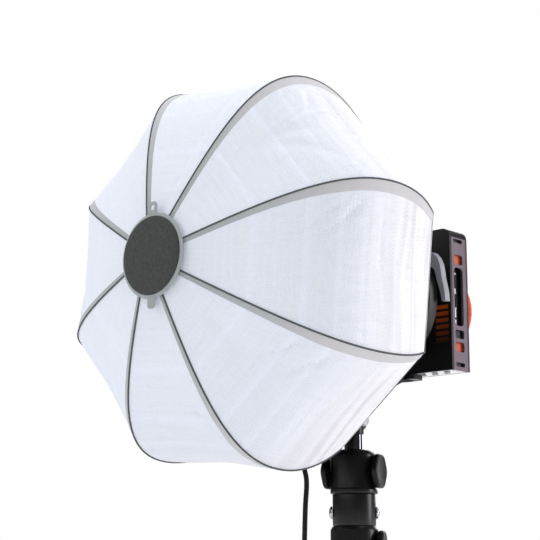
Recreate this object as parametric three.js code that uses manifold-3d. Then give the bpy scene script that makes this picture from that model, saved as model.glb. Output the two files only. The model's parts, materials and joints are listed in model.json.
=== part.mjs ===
// A compact studio softbox: an eight-rib fabric dome on a speedring, its LED lamp head,
// the tilting bracket below it and the head of the light stand that carries them.
// Millimetres. +Z is up, the dome faces -Y, and the origin is the middle of the stand head's foot.
import * as THREE from "three";
import { mergeVertices } from "three/addons/utils/BufferGeometryUtils.js";
import Module from "manifold-3d";

const wasm = await Module();
wasm.setup();

// ---- Driving dimensions ------------------------------------------------------------------

const GAP = 0.3; // room between neighbouring pieces
const FINE = 24; // facets on a large round piece
const COARSE = 12; // facets on a small round piece

const OPTICAL_AXIS_Z = 270; // height of the dome's axis over the foot
const TILT_PIVOT_Z = 160; // height of the bolt that the lamp tilts on

const RIB_COUNT = 8;
const RIB_CLOCKING = THREE.MathUtils.degToRad(-16.8); // first rib, from straight up towards +X
const RIB_RADIUS = 1.1;
const FABRIC = 0.8; // thickness of the cloth solids

// The dome's outline, as radius and distance forward of the speedring's front face.
const RING_FRONT_Y = 39;
const SKIRT_START = { radius: 59, forward: 0.5 };
const RIM = { radius: 148, forward: 109 };
const WIDEST = { radius: 170, forward: 183 };
const HUB_EDGE = { radius: 27, forward: 282 };
const RIM_HANDLE = { radius: 158, forward: 128 }; // the outline's handles, between rim and widest ring
const REAR_HANDLE = { radius: 170, forward: 155 };
const FRONT_HANDLE = { radius: 170, forward: 240 }; // and between the widest ring and the hub
const HUB_HANDLE = { radius: 125, forward: 260 };

// The pivots of one rib, in the same terms.
const RIB_ROOT = { radius: 51, forward: 4 };
const RIB_AT_RIM = { radius: 144, forward: 110.5 };
const RIB_KNUCKLE = { radius: 163.5, forward: 195 };
const RIB_TIP = { radius: 30, forward: 276.5 };
const REAR_RIB_BEND = [{ radius: 154, forward: 133 }, { radius: 161, forward: 163 }];
const FRONT_RIB_HANDLES = [{ radius: 164, forward: 237 }, { radius: 124, forward: 254.5 }];

const RING = { inner: 36, web: 45, outer: 57, depth: 12, webDepth: 5 };
const ADAPTER = { inner: 34, outer: 46, depth: 8.5 };
const COLLAR = { inner: 31.5, outer: 38, front: 60.4 };
const HUB = { radius: 31.5, depth: 4, ahead: 5.5, slope: 4, boss: 11, bossDepth: 17 };

// The lamp's case. Heights are from the optical axis.
const CASE = { halfWidth: 56, bottom: -62, top: 69, front: 73, rear: 100, wall: 2.4, corner: 8 };
const CASE_PLATE = 2.5;
const CASE_INNER_FRONT = CASE.front + CASE_PLATE + GAP;
const CASE_REAR_PLATE = 2;
const CASE_INNER_REAR = CASE.rear - CASE_REAR_PLATE - GAP;
const CASE_OPENING = 26; // the round opening that the LED shines through

const SPIGOT_RADIUS = 8;
const STAND = {
  tube: 16.5,
  collar: 20.8,
  sleeve: 18.8,
  receiver: 19.9,
  flange: 20.6,
  flangeHeight: 4,
  shoulder: 6.2,
  chamfer: 2.4,
  collarBottom: 20,
  sleeveBottom: 68.5,
  receiverBottom: 96.2,
  receiverTop: 134.3,
};

// ---- Geometry helpers --------------------------------------------------------------------

const X = new THREE.Vector3(1, 0, 0);
const Y = new THREE.Vector3(0, 1, 0);
const Z = new THREE.Vector3(0, 0, 1);

// A closed mesh as a manifold-3d solid.
function solidOf(geometry) {
  const bare = geometry.clone();
  bare.deleteAttribute("normal");
  bare.deleteAttribute("uv");
  const merged = mergeVertices(bare, 1e-4);
  return new wasm.Manifold(
    new wasm.Mesh({
      numProp: 3,
      vertProperties: merged.attributes.position.array,
      triVerts: new Uint32Array(merged.index.array),
    }),
  );
}

function geometryOf(solid) {
  const mesh = solid.getMesh();
  const geometry = new THREE.BufferGeometry();
  geometry.setAttribute("position", new THREE.BufferAttribute(mesh.vertProperties, 3));
  geometry.setIndex(new THREE.BufferAttribute(mesh.triVerts, 1));
  return geometry;
}

function join(first, ...others) {
  const solid = others.reduce((sum, other) => sum.add(solidOf(other)), solidOf(first));
  return geometryOf(solid);
}

function cut(body, ...tools) {
  const solid = tools.reduce((rest, tool) => rest.subtract(solidOf(tool)), solidOf(body));
  return geometryOf(solid);
}

// A body of revolution from [radius, height] points, about the named axis.
function turned(profile, axis = "y", facets = FINE) {
  const points = profile.map(([radius, height]) => new THREE.Vector2(radius, height));
  const geometry = new THREE.LatheGeometry(points, facets);
  if (axis === "z") geometry.rotateX(Math.PI / 2);
  if (axis === "x") geometry.rotateZ(-Math.PI / 2);
  return geometry;
}

function disc(radius, low, high, axis = "y", facets = FINE) {
  const profile = [[0, low], [radius, low], [radius, high], [0, high]];
  return turned(profile, axis, facets);
}

function tube(inner, outer, low, high, axis = "y", facets = FINE) {
  const profile = [[inner, low], [outer, low], [outer, high], [inner, high], [inner, low]];
  return turned(profile, axis, facets);
}

function block([x0, y0, z0], [x1, y1, z1]) {
  const geometry = new THREE.BoxGeometry(x1 - x0, y1 - y0, z1 - z0);
  return geometry.translate((x0 + x1) / 2, (y0 + y1) / 2, (z0 + z1) / 2);
}

// A shape drawn in two axes and extruded along the third, from low to high.
function slab(shape, low, high, basis, curveSegments = 2) {
  const settings = { depth: high - low, bevelEnabled: false, curveSegments };
  const geometry = new THREE.ExtrudeGeometry(shape, settings);
  geometry.translate(0, 0, low);
  return geometry.applyMatrix4(basis);
}

const DRAWN_IN_XY = new THREE.Matrix4();
const DRAWN_IN_YZ = new THREE.Matrix4().makeBasis(Y, Z, X);

// A shape drawn with x across and z up, extruded along y.
function facing(shape, front, rear, curveSegments = 2) {
  const geometry = slab(shape, -rear, -front, DRAWN_IN_XY, curveSegments);
  return geometry.rotateX(Math.PI / 2);
}

function roundedRectangle(x0, y0, x1, y1, radius, path = new THREE.Shape()) {
  path.moveTo(x0 + radius, y0);
  path.lineTo(x1 - radius, y0);
  path.absarc(x1 - radius, y0 + radius, radius, -Math.PI / 2, 0);
  path.lineTo(x1, y1 - radius);
  path.absarc(x1 - radius, y1 - radius, radius, 0, Math.PI / 2);
  path.lineTo(x0 + radius, y1);
  path.absarc(x0 + radius, y1 - radius, radius, Math.PI / 2, Math.PI);
  path.lineTo(x0, y0 + radius);
  path.absarc(x0 + radius, y0 + radius, radius, Math.PI, Math.PI * 1.5);
  return path;
}

function rod(points, radius, facets, steps) {
  const circle = new THREE.Shape().absarc(0, 0, radius, 0, Math.PI * 2);
  const extrudePath = new THREE.CatmullRomCurve3(points, false, "centripetal");
  return new THREE.ExtrudeGeometry(circle, {
    steps,
    extrudePath,
    curveSegments: facets / 2,
    bevelEnabled: false,
  });
}

function piece(name, geometry, colour, roughness, metalness = 0) {
  const material = new THREE.MeshStandardMaterial({ color: colour, roughness, metalness });
  const mesh = new THREE.Mesh(geometry, material);
  mesh.name = name;
  return mesh;
}

function groupOf(...meshes) {
  const group = new THREE.Group();
  group.add(...meshes);
  return group;
}

// ---- The softbox -------------------------------------------------------------------------

// Points in a rib's own plane: z is the radius and y runs back along the optical axis.
const inPlane = ({ radius, forward }) => new THREE.Vector3(0, RING_FRONT_Y - forward, radius);

// The dome's outline from the rim, over the widest ring, to the hub's edge.
function domeOutline() {
  const flat = ({ radius, forward }) => new THREE.Vector2(radius, forward);
  const rear = new THREE.CubicBezierCurve(...[RIM, RIM_HANDLE, REAR_HANDLE, WIDEST].map(flat));
  const front = new THREE.CubicBezierCurve(...[WIDEST, FRONT_HANDLE, HUB_HANDLE, HUB_EDGE].map(flat));
  return [...rear.getPoints(4), ...front.getPoints(8).slice(1)];
}

// A thin octagonal shell inside an outline of (radius, forward) points, with open ends.
function clothShell(outline) {
  const inside = outline.map((point, index) => {
    const before = outline[Math.max(index - 1, 0)];
    const after = outline[Math.min(index + 1, outline.length - 1)];
    const along = after.clone().sub(before).normalize();
    return new THREE.Vector2(point.x - along.y * FABRIC, point.y + along.x * FABRIC);
  });
  const closed = [...outline, ...inside.reverse(), outline[0]];
  const profile = closed.map((point) => new THREE.Vector2(point.x, RING_FRONT_Y - point.y));
  return new THREE.LatheGeometry(profile.reverse(), RIB_COUNT, RIB_CLOCKING);
}

function canopy() {
  return piece("canopy", clothShell(domeOutline()), 0xf4f5fa, 0.8);
}

function rearSkirt() {
  const start = new THREE.Vector2(SKIRT_START.radius, SKIRT_START.forward);
  const end = new THREE.Vector2(RIM.radius - 1, RIM.forward - 1.6);
  return piece("rear_skirt", clothShell([start, end]), 0x17171a, 0.75);
}

const HINGE = { eye: 2.4, halfEye: 1, pin: 0.9, hole: 1.05, cheek: 1.4, halfWidth: 2.6, reach: 6 };

// An eye on the x axis with a pin through it, centred on a pivot of the rib.
function eyeWithPin(pivot, pinHalfLength) {
  const { y, z } = inPlane(pivot);
  const eye = disc(HINGE.eye, -HINGE.halfEye, HINGE.halfEye, "x", 10);
  const pin = disc(HINGE.pin, -pinHalfLength, pinHalfLength, "x", 6);
  return [eye.translate(0, y, z), pin.translate(0, y, z)];
}

// The fork at the rear end of a front rib. It straddles the rear rib's eye.
function fork(pivot, towards) {
  const { y, z } = inPlane(pivot);
  const direction = towards.clone().sub(inPlane(pivot)).normalize();
  const bridge = direction.clone().multiplyScalar(HINGE.eye + 2.2);
  const solid = block(
    [-HINGE.halfWidth, -HINGE.eye, -HINGE.eye],
    [HINGE.halfWidth, HINGE.reach, HINGE.eye],
  );
  const slot = block(
    [-HINGE.cheek, -HINGE.eye - 1, -HINGE.eye - 1],
    [HINGE.cheek, HINGE.eye + 0.8, HINGE.eye + 1],
  );
  const hole = disc(HINGE.hole, -HINGE.halfWidth - 1, HINGE.halfWidth + 1, "x", 6);
  const shaped = cut(solid, slot, hole);
  const turn = new THREE.Quaternion().setFromUnitVectors(Y, direction);
  shaped.applyQuaternion(turn).translate(0, y, z);
  return { shaped, bridge: new THREE.Vector3(0, y, z).add(bridge) };
}

function rearRibGeometry() {
  const path = [RIB_ROOT, RIB_AT_RIM, ...REAR_RIB_BEND, RIB_KNUCKLE].map(inPlane);
  const shaft = rod(path, RIB_RADIUS, 6, 9);
  const root = eyeWithPin(RIB_ROOT, HINGE.halfWidth);
  return join(shaft, ...root, ...eyeWithPin(RIB_KNUCKLE, HINGE.halfWidth));
}

function frontRibGeometry() {
  const path = [RIB_KNUCKLE, ...FRONT_RIB_HANDLES, RIB_TIP].map(inPlane);
  const curve = new THREE.CubicBezierCurve3(...path);
  const points = curve.getPoints(8).slice(1);
  const { shaped, bridge } = fork(RIB_KNUCKLE, points[0]);
  const shaft = rod([bridge, ...points], RIB_RADIUS, 6, 9);
  return join(shaft, shaped, ...eyeWithPin(RIB_TIP, HINGE.halfEye + 0.2));
}

function ribs() {
  const rear = rearRibGeometry();
  const front = frontRibGeometry();
  const group = new THREE.Group();
  for (let index = 0; index < RIB_COUNT; index += 1) {
    const pair = groupOf(
      piece(`rear_rib_${index + 1}`, rear, 0x6d6f73, 0.4, 0.6),
      piece(`front_rib_${index + 1}`, front, 0x6d6f73, 0.4, 0.6),
    );
    pair.rotation.y = RIB_CLOCKING + (index * Math.PI * 2) / RIB_COUNT;
    group.add(pair);
  }
  return group;
}

// The disc that holds the ribs' tips, and the boss behind it that gathers them.
function hub() {
  const front = RING_FRONT_Y - HUB_EDGE.forward - HUB.ahead;
  const back = front + HUB.depth;
  const cap = turned([
    [0, front],
    [HUB.radius - HUB.slope, front + 0.8],
    [HUB.radius, front + 2.2],
    [HUB.radius, back],
    [0, back],
  ]);
  const boss = disc(HUB.boss, back + GAP, back + GAP + HUB.bossDepth, "y", COARSE);
  return groupOf(piece("hub_cap", cap, 0x4d5450, 0.7), piece("hub_boss", boss, 0x2a2b2d, 0.6));
}

const LUG = { inward: 3.4, outward: 3, ahead: 2.6, outer: 3.6 };

// The two lugs that hold one rib's root on the ring's front face.
function ribLugs(angle) {
  const low = RIB_ROOT.radius - LUG.inward;
  const high = RIB_ROOT.radius + LUG.outward;
  const front = RING_FRONT_Y - RIB_ROOT.forward - LUG.ahead;
  const lugs = [-1, 1].map((side) => {
    const x0 = side > 0 ? HINGE.cheek : -LUG.outer;
    const x1 = side > 0 ? LUG.outer : -HINGE.cheek;
    return block([x0, front, low], [x1, RING_FRONT_Y + 1, high]).rotateY(angle);
  });
  const { y, z } = inPlane(RIB_ROOT);
  const hole = disc(HINGE.hole, -LUG.outer - 1, LUG.outer + 1, "x", 6).translate(0, y, z).rotateY(angle);
  return { lugs, hole };
}

function speedring() {
  const rear = RING_FRONT_Y + RING.depth;
  let body = turned([
    [RING.inner, rear - RING.webDepth],
    [RING.web, rear - RING.webDepth],
    [RING.web, RING_FRONT_Y],
    [RING.outer, RING_FRONT_Y],
    [RING.outer, rear],
    [RING.inner, rear],
    [RING.inner, rear - RING.webDepth],
  ]);
  for (let index = 0; index < RIB_COUNT; index += 1) {
    const { lugs, hole } = ribLugs(RIB_CLOCKING + (index * Math.PI * 2) / RIB_COUNT);
    body = cut(join(body, ...lugs), hole);
  }
  return piece("speedring", body, 0x1b1b1e, 0.5, 0.3);
}

const ADAPTER_FRONT_Y = RING_FRONT_Y + RING.depth + GAP;

function adapterRing() {
  const body = tube(ADAPTER.inner, ADAPTER.outer, ADAPTER_FRONT_Y, ADAPTER_FRONT_Y + ADAPTER.depth);
  return piece("adapter_ring", body, 0x242427, 0.45, 0.5);
}

const LEVER_PIVOT = new THREE.Vector2(39.5, 37);
const LEVER = { front: ADAPTER_FRONT_Y + 0.5, rear: ADAPTER_FRONT_Y + 7.5, tip: -3, tipIn: 61, tipOut: 65 };
const LEVER_PIN = { shaft: 2.5, hole: 2.8, head: 4.4, headDepth: 1.6 };

// The curved release lever behind the speedring, drawn with x across and z up.
function ringLever() {
  const shape = new THREE.Shape();
  shape.moveTo(38, 44.5);
  shape.bezierCurveTo(54, 48, 60, 36, 61, 24);
  shape.bezierCurveTo(61, 16, LEVER.tipOut, 10, LEVER.tipOut, LEVER.tip);
  shape.lineTo(LEVER.tipIn, LEVER.tip);
  shape.bezierCurveTo(60, 8, 56, 14, 54.5, 24);
  shape.bezierCurveTo(53, 30, 48, 31, 40, 31.2);
  shape.bezierCurveTo(32, 31.5, 32, 44, 38, 44.5);
  const body = facing(shape, LEVER.front, LEVER.rear, 5);
  const hole = disc(LEVER_PIN.hole, LEVER.front - 1, LEVER.rear + 1, "y", COARSE);
  hole.translate(LEVER_PIVOT.x, 0, LEVER_PIVOT.y);
  return piece("ring_lever", cut(body, hole), 0x8b8e93, 0.45);
}

function leverPin() {
  const { shaft: radius, head: headRadius, headDepth } = LEVER_PIN;
  const start = LEVER.rear + 0.4;
  const shaft = disc(radius, ADAPTER_FRONT_Y, start + headDepth / 2, "y", COARSE);
  const head = disc(headRadius, start, start + headDepth, "y", COARSE);
  const body = join(shaft, head).translate(LEVER_PIVOT.x, 0, LEVER_PIVOT.y);
  return piece("lever_pin", body, 0x9a9da1, 0.3, 0.9);
}

function softbox() {
  const fixed = groupOf(canopy(), rearSkirt(), speedring(), adapterRing(), ringLever(), leverPin());
  fixed.add(ribs(), hub());
  return fixed;
}

// ---- The lamp head -----------------------------------------------------------------------

// The case's outline seen from the front: square bottom corners and rounded top ones.
function caseOutline() {
  const { halfWidth: w, bottom, top, corner } = CASE;
  const shape = new THREE.Shape();
  shape.moveTo(-w, bottom);
  shape.lineTo(w, bottom);
  shape.lineTo(w, top - corner);
  shape.absarc(w - corner, top - corner, corner, 0, Math.PI / 2);
  shape.lineTo(-w + corner, top);
  shape.absarc(-w + corner, top - corner, corner, Math.PI / 2, Math.PI);
  shape.closePath();
  return shape;
}

const VENT = { near: 37, far: 53, bottom: -36, pitch: 6, slot: 4.2, count: 6 };

function caseFront() {
  const shape = caseOutline();
  for (let index = 0; index < VENT.count; index += 1) {
    const z0 = VENT.bottom + index * VENT.pitch;
    const z1 = z0 + VENT.slot;
    shape.holes.push(roundedRectangle(VENT.near, z0, VENT.far, z1, 1, new THREE.Path()));
    shape.holes.push(roundedRectangle(-VENT.far, z0, -VENT.near, z1, 1, new THREE.Path()));
  }
  const plate = facing(shape, CASE.front, CASE.front + CASE_PLATE);
  const opening = disc(CASE_OPENING, CASE.front - 1, CASE.front + CASE_PLATE + 1);
  return piece("case_front", cut(plate, opening), 0x151417, 0.5);
}

const GRILLE = { inner: 31, outer: 49, count: 24, share: 0.5 };

function caseRear() {
  const shape = caseOutline();
  const pitch = (Math.PI * 2) / GRILLE.count;
  for (let index = 0; index < GRILLE.count; index += 1) {
    const start = index * pitch;
    const end = start + pitch * GRILLE.share;
    const slot = new THREE.Path();
    slot.moveTo(GRILLE.inner * Math.cos(start), GRILLE.inner * Math.sin(start));
    slot.lineTo(GRILLE.outer * Math.cos(start), GRILLE.outer * Math.sin(start));
    slot.lineTo(GRILLE.outer * Math.cos(end), GRILLE.outer * Math.sin(end));
    slot.lineTo(GRILLE.inner * Math.cos(end), GRILLE.inner * Math.sin(end));
    slot.closePath();
    shape.holes.push(slot);
  }
  return piece("case_rear", facing(shape, CASE.rear - CASE_REAR_PLATE, CASE.rear), 0x1a191c, 0.5);
}

// Windows in a side plate: bottom, top and corner radius, in heights from the optical axis.
const RIGHT_WINDOWS = [
  { low: -58.6, high: -54.7, corner: 1 },
  { low: -45, high: -36, corner: 2.2 },
  { low: -32.6, high: -24.8, corner: 2 },
  { low: -21, high: 33, corner: 4 },
  { low: 36, high: 45, corner: 2.2 },
  { low: 56.2, high: 59.6, corner: 1 },
];
const WINDOW_FRONT = 79;
const WINDOW_REAR = 92.5;

// The controls on the left side. Each has a round hole in the plate; z is from the optical axis.
const CONTROL_Y = 86;
const DIAL = { z: 38, radius: 9, depth: 7.9, shaft: 2.9, hole: 3.3 };
const BUTTON = { z: 18, radius: 3.9, proud: 2.2, hole: 4.3 };
const SOCKET = { z: -44, radius: 4.9, flange: 6.8, proud: 3.5, bore: 2.9, hole: 5.2 };

function sidePlate(name, side, windows, roundHoles) {
  const top = CASE.top - CASE.corner;
  const shape = new THREE.Shape();
  shape.moveTo(CASE_INNER_FRONT, CASE.bottom);
  shape.lineTo(CASE_INNER_REAR, CASE.bottom);
  shape.lineTo(CASE_INNER_REAR, top);
  shape.lineTo(CASE_INNER_FRONT, top);
  shape.closePath();
  for (const { low, high, corner } of windows) {
    shape.holes.push(roundedRectangle(WINDOW_FRONT, low, WINDOW_REAR, high, corner, new THREE.Path()));
  }
  const outer = side * CASE.halfWidth;
  const inner = side * (CASE.halfWidth - CASE.wall);
  const plate = slab(shape, Math.min(inner, outer), Math.max(inner, outer), DRAWN_IN_YZ);
  const drills = roundHoles.map(({ z, hole }) =>
    disc(hole, outer - 4, outer + 4, "x", COARSE).translate(0, CONTROL_Y, z),
  );
  return piece(name, cut(plate, ...drills), 0x6f6470, 0.42, 0.55);
}

function sidePlates() {
  const leftWindows = [RIGHT_WINDOWS[0], { low: -30, high: 4, corner: 4 }, RIGHT_WINDOWS[5]];
  return groupOf(
    sidePlate("side_plate_right", 1, RIGHT_WINDOWS, []),
    sidePlate("side_plate_left", -1, leftWindows, [DIAL, BUTTON, SOCKET]),
  );
}

function topShell() {
  const { halfWidth: w, top, corner, wall } = CASE;
  const low = top - corner + GAP;
  const shape = new THREE.Shape();
  shape.moveTo(w, low);
  shape.absarc(w - corner, top - corner, corner, Math.asin(GAP / corner), Math.PI / 2);
  shape.lineTo(-w + corner, top);
  shape.absarc(-w + corner, top - corner, corner, Math.PI / 2, Math.PI - Math.asin(GAP / corner));
  shape.lineTo(-w + wall, low);
  shape.absarc(-w + corner, top - corner, corner - wall, Math.PI - 0.06, Math.PI / 2, true);
  shape.lineTo(w - corner, top - wall);
  shape.absarc(w - corner, top - corner, corner - wall, Math.PI / 2, 0.06, true);
  shape.closePath();
  return piece("top_shell", facing(shape, CASE_INNER_FRONT, CASE_INNER_REAR), 0x2b272c, 0.45, 0.3);
}

const BOTTOM_SLOTS = { count: 7, pitch: 13.6, width: 7, lean: -11, front: 77, rear: 94 };

function bottomPlate() {
  const half = CASE.halfWidth - CASE.wall - GAP;
  const shape = new THREE.Shape();
  shape.moveTo(-half, CASE_INNER_FRONT);
  shape.lineTo(half, CASE_INNER_FRONT);
  shape.lineTo(half, CASE_INNER_REAR);
  shape.lineTo(-half, CASE_INNER_REAR);
  shape.closePath();
  const { count, pitch, width, lean, front, rear } = BOTTOM_SLOTS;
  const slots = [];
  for (let index = 0; index < count; index += 1) {
    const x = (index - (count - 1) / 2) * pitch - lean / 2;
    const slot = new THREE.Shape();
    slot.moveTo(x - width / 2, front);
    slot.lineTo(x + width / 2, front);
    slot.lineTo(x + width / 2 + lean, rear);
    slot.lineTo(x - width / 2 + lean, rear);
    slot.closePath();
    slots.push(slab(slot, CASE.bottom - 1, CASE.bottom + CASE.wall + 1, DRAWN_IN_XY));
  }
  const plate = slab(shape, CASE.bottom, CASE.bottom + CASE.wall, DRAWN_IN_XY);
  return piece("bottom_plate", cut(plate, ...slots), 0xd8d6da, 0.4, 0.3);
}

// A base plate with a pedestal for the LED board, and fins behind it.
const SINK = { half: 30, front: 76.2, base: 3, rear: 86, fins: 9, fin: 1.8, pedestal: 20 };
const BOARD = { front: 68, rear: 70, radius: 22 };
const EMITTER = { radius: 12, depth: 1.6 };
const GLASS = { radius: 30.8, rear: 62, shoulder: 58, front: 38, wall: 2.6 };

function heatSink() {
  const { half, front, base, rear, fins, fin } = SINK;
  const shape = new THREE.Shape();
  shape.moveTo(-half, front);
  shape.lineTo(half, front);
  const pitch = (2 * half - fin) / (fins - 1);
  for (let index = fins - 1; index >= 0; index -= 1) {
    const x = -half + index * pitch;
    shape.lineTo(x + fin, rear);
    shape.lineTo(x, rear);
    if (index > 0) {
      shape.lineTo(x, front + base);
      shape.lineTo(x - pitch + fin, front + base);
    }
  }
  shape.closePath();
  const comb = slab(shape, -half, half, DRAWN_IN_XY);
  const pedestal = disc(SINK.pedestal, BOARD.rear + GAP, front + 1, "y", COARSE);
  return piece("heat_sink", join(comb, pedestal), 0x8f9195, 0.4, 0.85);
}

const FAN = { front: 88, rear: 96.4, hub: 24, reach: 49, blades: 9, bladeHalf: 6.5, bladeThickness: 1.4 };
const FAN_PITCH = THREE.MathUtils.degToRad(28);
const MOTOR = { radius: 10, bore: 11, front: SINK.rear + GAP, rear: 94 };

function fanMotor() {
  const body = disc(MOTOR.radius, MOTOR.front, MOTOR.rear, "y", COARSE);
  return piece("fan_motor", body, 0x202124, 0.5);
}

function fanImpeller() {
  const cup = cut(
    disc(FAN.hub, FAN.front, FAN.rear),
    disc(MOTOR.bore, FAN.front - 1, MOTOR.rear + 0.8, "y", COARSE),
  );
  const blades = [];
  for (let index = 0; index < FAN.blades; index += 1) {
    const blade = block(
      [FAN.hub - 2, 0, -FAN.bladeHalf],
      [FAN.reach, FAN.bladeThickness, FAN.bladeHalf],
    );
    blade.rotateX(FAN_PITCH);
    blade.translate(0, (FAN.front + FAN.rear) / 2 - 0.6, 0);
    blades.push(blade.rotateY((index * Math.PI * 2) / FAN.blades));
  }
  return piece("fan_impeller", join(cup, ...blades), 0xd2561c, 0.45);
}

const REAR_DOME = { radius: 49.5, depth: 46, wall: 2.6, stem: 12, airGap: 3.5 };

// A hollow round cover on a central stem. Air leaves through the gap between its edge and the case.
function rearDome() {
  const { radius, depth, wall, stem, airGap } = REAR_DOME;
  const base = CASE.rear + GAP;
  const edge = CASE.rear + airGap;
  const onEllipse = (reach, height, share) => {
    const angle = (share * Math.PI) / 2;
    return [reach * Math.cos(angle), edge + height * Math.sin(angle)];
  };
  const shares = [0, 0.14, 0.28, 0.42, 0.56, 0.7, 0.85];
  const outside = shares.map((share) => onEllipse(radius, depth, share));
  const inside = shares.map((share) => onEllipse(radius - wall, depth - wall, share));
  const ceiling = edge + (depth - wall) * Math.sqrt(1 - (stem / (radius - wall)) ** 2);
  const inner = inside.filter(([reach]) => reach > stem + 1);
  const profile = [[0, base], [stem, base], [stem, ceiling], ...inner.reverse(), ...outside, [0, edge + depth]];
  return piece("rear_dome", turned(profile), 0xc9501b, 0.4);
}

// A domed cover over the LED, open at the back.
function glassDome() {
  const { radius, rear, shoulder, front, wall } = GLASS;
  const arc = (inset) => {
    const points = [[radius - inset, rear]];
    for (let step = 0; step < 6; step += 1) {
      const angle = (step * Math.PI) / 12;
      const height = (shoulder - front - inset) * Math.sin(angle);
      points.push([(radius - inset) * Math.cos(angle), shoulder - height]);
    }
    points.push([0, front + inset]);
    return points;
  };
  const profile = [...arc(0), ...arc(wall).reverse(), [radius, rear]];
  return piece("glass_dome", turned(profile.reverse()), 0xf2f4f8, 0.15);
}

function lightSource() {
  const collar = tube(COLLAR.inner, COLLAR.outer, COLLAR.front, CASE.front - GAP);
  const board = disc(BOARD.radius, BOARD.front, BOARD.rear, "y", COARSE);
  const emitterRear = BOARD.front - GAP;
  const emitter = disc(EMITTER.radius, emitterRear - EMITTER.depth, emitterRear, "y", COARSE);
  return groupOf(
    piece("mount_collar", collar, 0x1d1d20, 0.4, 0.5),
    piece("led_board", board, 0xe8e6df, 0.5),
    piece("led_emitter", emitter, 0xe9c64a, 0.35),
    glassDome(),
  );
}

// Controls on the case's left side: a dial on a shaft, a push button and the power socket.
function controls() {
  const wall = -CASE.halfWidth;
  const inside = wall + 4;
  const dialRear = wall - 2 * GAP;
  const dial = join(
    disc(DIAL.radius, dialRear - DIAL.depth, dialRear, "x"),
    disc(DIAL.shaft, dialRear - 0.4, inside, "x", COARSE),
  ).translate(0, CONTROL_Y, DIAL.z);
  const button = disc(BUTTON.radius, wall - BUTTON.proud, inside, "x", COARSE);
  button.translate(0, CONTROL_Y, BUTTON.z);
  const socket = cut(
    join(
      disc(SOCKET.radius, wall - SOCKET.proud / 2, wall + 9, "x", COARSE),
      disc(SOCKET.flange, wall - SOCKET.proud, wall - GAP, "x", COARSE),
    ),
    disc(SOCKET.bore, wall - SOCKET.proud - 1, wall + 6, "x", COARSE),
  ).translate(0, CONTROL_Y, SOCKET.z);
  return groupOf(
    piece("brightness_dial", dial, 0x232327, 0.5),
    piece("power_button", button, 0xc8501c, 0.4),
    piece("power_socket", socket, 0x121214, 0.5),
  );
}

// ---- The cable ---------------------------------------------------------------------------

const CABLE_RADIUS = 2.3;
const PLUG = { x: -58, bottom: 8, waist: 18, low: 20, high: 32, top: 38, thin: 2.7, thick: 4.6, neck: 3 };

// It leaves the socket, loops out and down past the stand, and ends at an in-line plug.
function cable() {
  const socket = new THREE.Vector3(-CASE.halfWidth - 2, CONTROL_Y, OPTICAL_AXIS_Z + SOCKET.z);
  const points = [
    socket,
    new THREE.Vector3(-70, CONTROL_Y, socket.z - 1),
    new THREE.Vector3(-80, 78, 212),
    new THREE.Vector3(-76, 48, 180),
    new THREE.Vector3(-66, 12, 142),
    new THREE.Vector3(-59, 0, 128),
    new THREE.Vector3(-54, -1, 110),
    new THREE.Vector3(-55.5, -1, 87),
    new THREE.Vector3(-57.5, 0, 60),
    new THREE.Vector3(PLUG.x, 0, PLUG.top + 2),
  ];
  const lead = rod(points, CABLE_RADIUS, 8, 36);
  return groupOf(piece("cable", lead, 0x111113, 0.6), cablePlug());
}

function cablePlug() {
  const { x, bottom, waist, low, high, top, thin, thick, neck } = PLUG;
  const profile = [
    [0, bottom],
    [thin, bottom],
    [thin, waist],
    [thick, low],
    [thick, high],
    [neck, top],
    [0, top],
  ];
  return piece("cable_plug", turned(profile, "z", COARSE).translate(x, 0, 0), 0x151517, 0.55);
}

// ---- The bracket -------------------------------------------------------------------------

const CLEVIS = { gap: 4.5, halfWidth: 8.6, radius: 9, neck: 9.3, neckBottom: 148.4 };
const BOLT = { radius: 3, hole: 3.2, head: 5.4, headDepth: 3.7, side: 9.3 };

const ARM_FOOT = { halfWidth: 14, front: 69, rear: 88, thickness: 4.5, corner: 6 };

// The arm sweeps up and back from its eye on the tilt bolt to the foot under the case.
function tiltArm() {
  const { halfWidth, front, rear, thickness, corner } = ARM_FOOT;
  const footTop = OPTICAL_AXIS_Z + CASE.bottom - GAP;
  const footBottom = footTop - thickness;
  const shape = new THREE.Shape();
  shape.absarc(0, TILT_PIVOT_Z, CLEVIS.radius, Math.PI * 0.7, Math.PI * 1.9);
  shape.bezierCurveTo(20, 171, 38, 190, 66, 200);
  shape.lineTo(rear - 4, footBottom - 0.5);
  shape.lineTo(rear - 4, footTop - 2);
  shape.lineTo(front + 2, footTop - 2);
  shape.bezierCurveTo(40, 202, 14, 188, -5, TILT_PIVOT_Z + 8);
  const arm = slab(shape, -CLEVIS.gap + GAP, CLEVIS.gap - GAP, DRAWN_IN_YZ, 6);
  const pad = roundedRectangle(-halfWidth, front, halfWidth, rear, corner);
  const foot = slab(pad, footBottom, footTop, DRAWN_IN_XY);
  const hole = disc(BOLT.hole, -10, 10, "x", COARSE).translate(0, 0, TILT_PIVOT_Z);
  return piece("tilt_arm", cut(join(arm, foot), hole), 0x1c1c1f, 0.5, 0.3);
}

function tiltClevis() {
  const cheeks = disc(CLEVIS.radius, -CLEVIS.halfWidth, CLEVIS.halfWidth, "x");
  cheeks.translate(0, 0, TILT_PIVOT_Z);
  const neck = disc(CLEVIS.neck, CLEVIS.neckBottom, TILT_PIVOT_Z - 4, "z");
  const slot = block(
    [-CLEVIS.gap, -12, TILT_PIVOT_Z - CLEVIS.radius - 0.6],
    [CLEVIS.gap, 12, TILT_PIVOT_Z + 12],
  );
  const hole = disc(BOLT.hole, -10, 10, "x", COARSE).translate(0, 0, TILT_PIVOT_Z);
  return piece("tilt_clevis", cut(join(cheeks, neck), slot, hole), 0x2a2a2d, 0.35, 0.6);
}

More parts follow.
